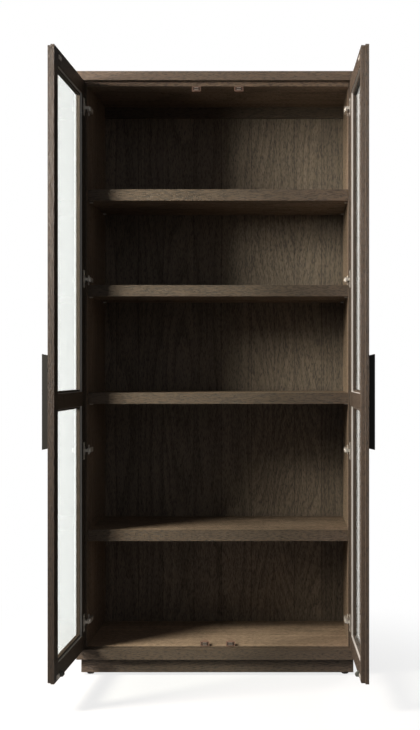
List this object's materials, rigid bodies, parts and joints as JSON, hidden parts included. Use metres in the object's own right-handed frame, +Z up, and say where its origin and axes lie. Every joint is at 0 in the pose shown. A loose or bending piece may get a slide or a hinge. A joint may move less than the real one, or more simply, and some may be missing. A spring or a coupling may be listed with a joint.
{
  "type": "bookcase with glass doors",
  "caption": "Tall dark oak bookcase with fixed-height shelves behind two hinged framed glass doors with folded steel pulls, on a recessed plinth with levelling feet.",
  "frame": {"origin": "middle of the footprint at rest, doors open, on the plane the feet stand on", "axes": "+X to the right of a person facing the doors, +Y from the doors to the back, +Z up"},
  "size_m": [1.0582, 0.9452, 2.15],
  "materials": {
    "oak": "satin smoked oak, open grain",
    "beech": "bare",
    "clear_glass": "polished float",
    "black_steel": "satin black",
    "nickel": "nickel-plated",
    "brown_plastic": "moulded",
    "foot_plastic": "moulded"
  },
  "bodies": {
    "carcass": {"top_panel": "oak", "bottom_panel": "oak", "left_side_panel": "oak", "right_side_panel": "oak", "back_panel": "oak", "top_front_rail": "oak", "back_top_rail": "oak", "plinth_front": "oak", "plinth_back": "oak", "plinth_left": "oak", "plinth_right": "oak", "foot_blocks": "beech", "shelf_1": "oak", "shelf_2": "oak", "shelf_3": "oak", "shelf_4": "oak", "shelf_supports": "nickel", "top_catches": "brown_plastic", "bottom_catches": "brown_plastic", "catch_screws": "nickel", "carcass_dowels": "beech", "left_hinge_arms": "nickel", "right_hinge_arms": "nickel", "left_hinge_plates": "nickel", "right_hinge_plates": "nickel", "hinge_plate_screws": "nickel"},
    "left_door": {"left_hinge_stile": "oak", "left_free_stile": "oak", "left_top_rail": "oak", "left_middle_rail": "oak", "left_bottom_rail": "oak", "left_upper_glass": "clear_glass", "left_lower_glass": "clear_glass", "left_glazing_beads": "oak", "left_handle": "black_steel", "left_handle_screws": "black_steel", "left_hinge_cups": "nickel", "left_door_screws": "nickel", "left_strikes": "nickel", "left_door_glide": "brown_plastic"},
    "right_door": {"right_hinge_stile": "oak", "right_free_stile": "oak", "right_top_rail": "oak", "right_middle_rail": "oak", "right_bottom_rail": "oak", "right_upper_glass": "clear_glass", "right_lower_glass": "clear_glass", "right_glazing_beads": "oak", "right_handle": "black_steel", "right_handle_screws": "black_steel", "right_hinge_cups": "nickel", "right_door_screws": "nickel", "right_strikes": "nickel", "right_door_glide": "brown_plastic"},
    "front_left_foot": {"front_left_foot": "foot_plastic"},
    "front_right_foot": {"front_right_foot": "foot_plastic"},
    "back_left_foot": {"back_left_foot": "foot_plastic"},
    "back_right_foot": {"back_right_foot": "foot_plastic"}
  },
  "joints": [
    {"name": "left_door_hinge", "type": "hinge", "parent": "carcass", "child": "left_door", "pos_m": [-0.483, 0.01656, 0.096], "axis": [0, 0, 1], "range_deg": [-13.5, 91.5]},
    {"name": "right_door_hinge", "type": "hinge", "parent": "carcass", "child": "right_door", "pos_m": [0.483, 0.01656, 0.096], "axis": [0, 0, 1], "range_deg": [-91.5, 13.5]},
    {"name": "front_left_foot_screw", "type": "slide", "parent": "carcass", "child": "front_left_foot", "axis": [0, 0, -1], "range_m": [0, 0.01]},
    {"name": "front_right_foot_screw", "type": "slide", "parent": "carcass", "child": "front_right_foot", "axis": [0, 0, -1], "range_m": [0, 0.01]},
    {"name": "back_left_foot_screw", "type": "slide", "parent": "carcass", "child": "back_left_foot", "axis": [0, 0, -1], "range_m": [0, 0.01]},
    {"name": "back_right_foot_screw", "type": "slide", "parent": "carcass", "child": "back_right_foot", "axis": [0, 0, -1], "range_m": [0, 0.01]}
  ]
}
